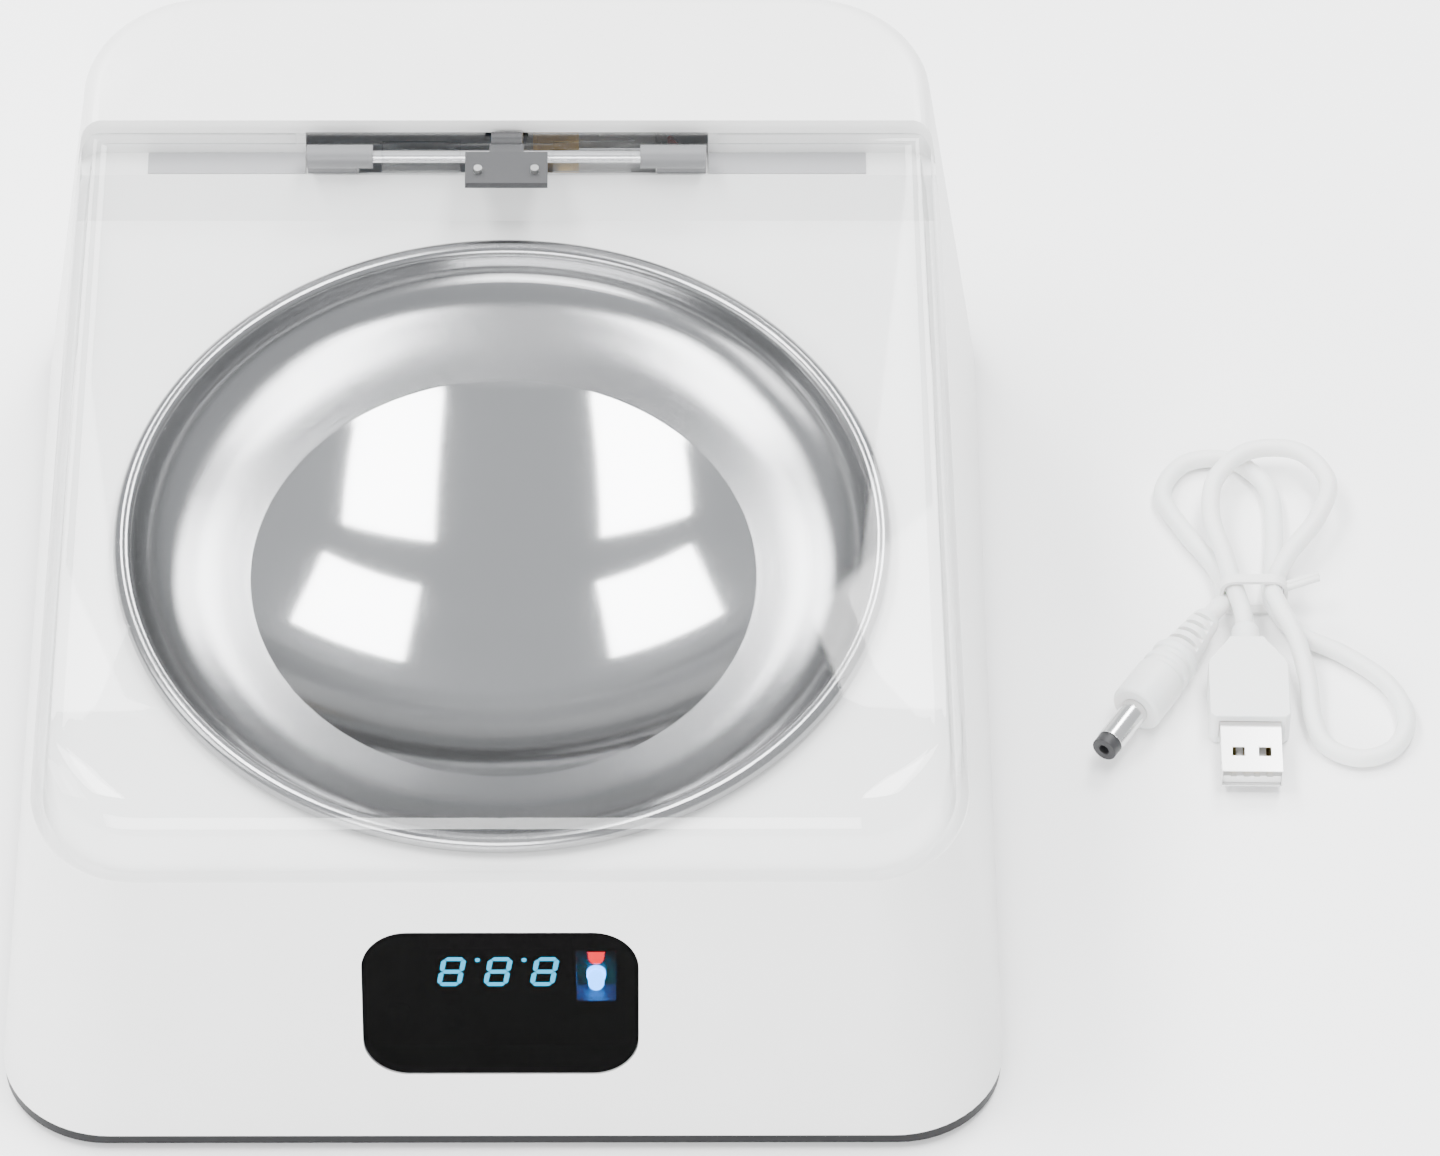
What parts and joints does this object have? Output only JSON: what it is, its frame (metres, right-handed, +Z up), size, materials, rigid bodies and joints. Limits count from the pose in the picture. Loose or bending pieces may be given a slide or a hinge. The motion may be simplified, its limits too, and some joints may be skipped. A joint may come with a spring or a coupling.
{
  "type": "automatic pet feeder bowl",
  "caption": "Wedge-shaped pet feeder with a steel bowl under a clear motor-driven lid, a dark sensor window with display, and a tied USB charging lead.",
  "frame": {"origin": "centre of the housing's footprint, on the table plane under its rubber feet", "axes": "+X to the housing's right seen from the front, +Y to the rear (hinge side), +Z up"},
  "size_m": [0.273, 0.2288, 0.0979],
  "materials": {
    "white_abs": "smooth moulded plastic, slightly glossy",
    "black_abs": "fine matt moulded plastic",
    "rubber_black": "soft matt rubber",
    "screw_steel": "zinc-plated steel",
    "grey_abs": "matt grey plastic",
    "pin_steel": "ground steel",
    "bowl_steel": "brushed wall and mirror-polished bottom",
    "clear_pc": "clear glossy plastic",
    "lens_black": "near-black glossy plastic that passes infrared",
    "digit_glow": "lit cyan segments",
    "led_blue": "lit blue lens",
    "led_red": "lit red lens",
    "ir_clear": "clear bluish lens",
    "ir_dark": "dark lens",
    "board_green": "solder-masked laminate",
    "chip_black": "moulded components",
    "cell_wrap": "shrink-wrapped cell",
    "wire_red": "insulated hook-up wire",
    "gear_pom": "natural acetal",
    "gear_brass": "brass plates and gears",
    "motor_steel": "drawn steel can",
    "plug_nickel": "nickel-plated metal",
    "cord_pvc": "white flexible vinyl",
    "contact_gold": "gold-plated contacts",
    "tie_white": "plastic-coated twist tie"
  },
  "bodies": {
    "housing": {"upper_shell": "white_abs", "base_plate": "black_abs", "rubber_feet": "rubber_black", "base_screws": "screw_steel", "hinge_strip": "grey_abs", "hinge_brackets": "white_abs", "hinge_screws": "screw_steel", "hinge_pin": "pin_steel", "motor_bracket": "white_abs", "bracket_screws": "screw_steel", "gearbox": "gear_brass", "motor_can": "motor_steel", "window_lens": "lens_black", "display_block": "black_abs", "display_segments": "digit_glow", "led_shroud": "black_abs", "led_blue": "led_blue", "led_red": "led_red", "ir_emitter": "ir_clear", "ir_receiver": "ir_dark", "sensor_board": "board_green", "control_board": "board_green", "board_parts": "chip_black", "board_screws": "screw_steel", "battery_cell": "cell_wrap", "battery_cradle": "black_abs", "dc_jack": "black_abs", "jack_contact": "plug_nickel", "wire_loom": "wire_red"},
    "lid": {"lid": "clear_pc", "lid_gear": "gear_pom", "gear_screws": "screw_steel"},
    "drive": {"motor_shaft": "pin_steel", "pinion": "gear_pom"},
    "bowl": {"bowl": "bowl_steel"},
    "lead": {"plug_barrel": "plug_nickel", "plug_insulator": "chip_black", "plug_grip": "cord_pvc", "plug_relief": "cord_pvc", "lead_cord": "cord_pvc", "usb_grip": "cord_pvc", "usb_shell": "plug_nickel", "usb_tongue": "white_abs", "usb_contacts": "contact_gold", "cord_tie": "tie_white"}
  },
  "joints": [
    {"name": "lid_hinge", "type": "hinge", "parent": "housing", "child": "lid", "pos_m": [0, 0.06077, 0.0902], "axis": [-1, 0, 0], "range_deg": [0, 75]},
    {"name": "drive_turn", "type": "hinge", "parent": "housing", "child": "drive", "pos_m": [0, 0.0705, 0.08204], "axis": [-1, 0, 0], "range_deg": [-37.5, 0]},
    {"name": "bowl_lift", "type": "slide", "parent": "housing", "child": "bowl", "axis": [0, -0.0872, 0.9962], "range_m": [0, 0.005]},
    {"name": "lead_lift", "type": "slide", "parent": "housing", "child": "lead", "axis": [0, 0, 1], "range_m": [0, 0.03]}
  ],
  "couplings": [
    {"joint": "drive_turn", "follows": "lid_hinge", "ratio": -0.5}
  ]
}
